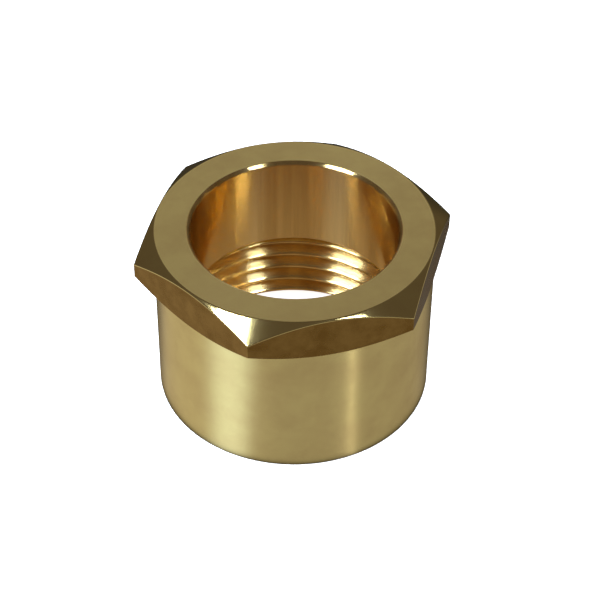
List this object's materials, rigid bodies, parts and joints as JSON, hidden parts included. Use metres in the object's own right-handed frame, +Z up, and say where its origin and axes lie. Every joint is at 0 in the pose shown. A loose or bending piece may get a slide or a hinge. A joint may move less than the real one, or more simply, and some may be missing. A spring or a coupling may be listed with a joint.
{
  "type": "union nut",
  "caption": "Brass union nut: a short chamfered hexagon head with a plain bore, on a long round skirt threaded inside, for joining a pump port to a pipe's tail piece.",
  "frame": {"origin": "centre of the skirt's open end, on the surface that the nut stands on", "axes": "+Z up the nut's axis, from the skirt's open end to the hexagon's top face; two of the hexagon's corners point along +X and -X"},
  "size_m": [0.0438, 0.038, 0.0262],
  "materials": {
    "brass": "turned bare brass, fine lathe marks"
  },
  "bodies": {
    "root": {"union_nut": "brass"}
  },
  "joints": []
}
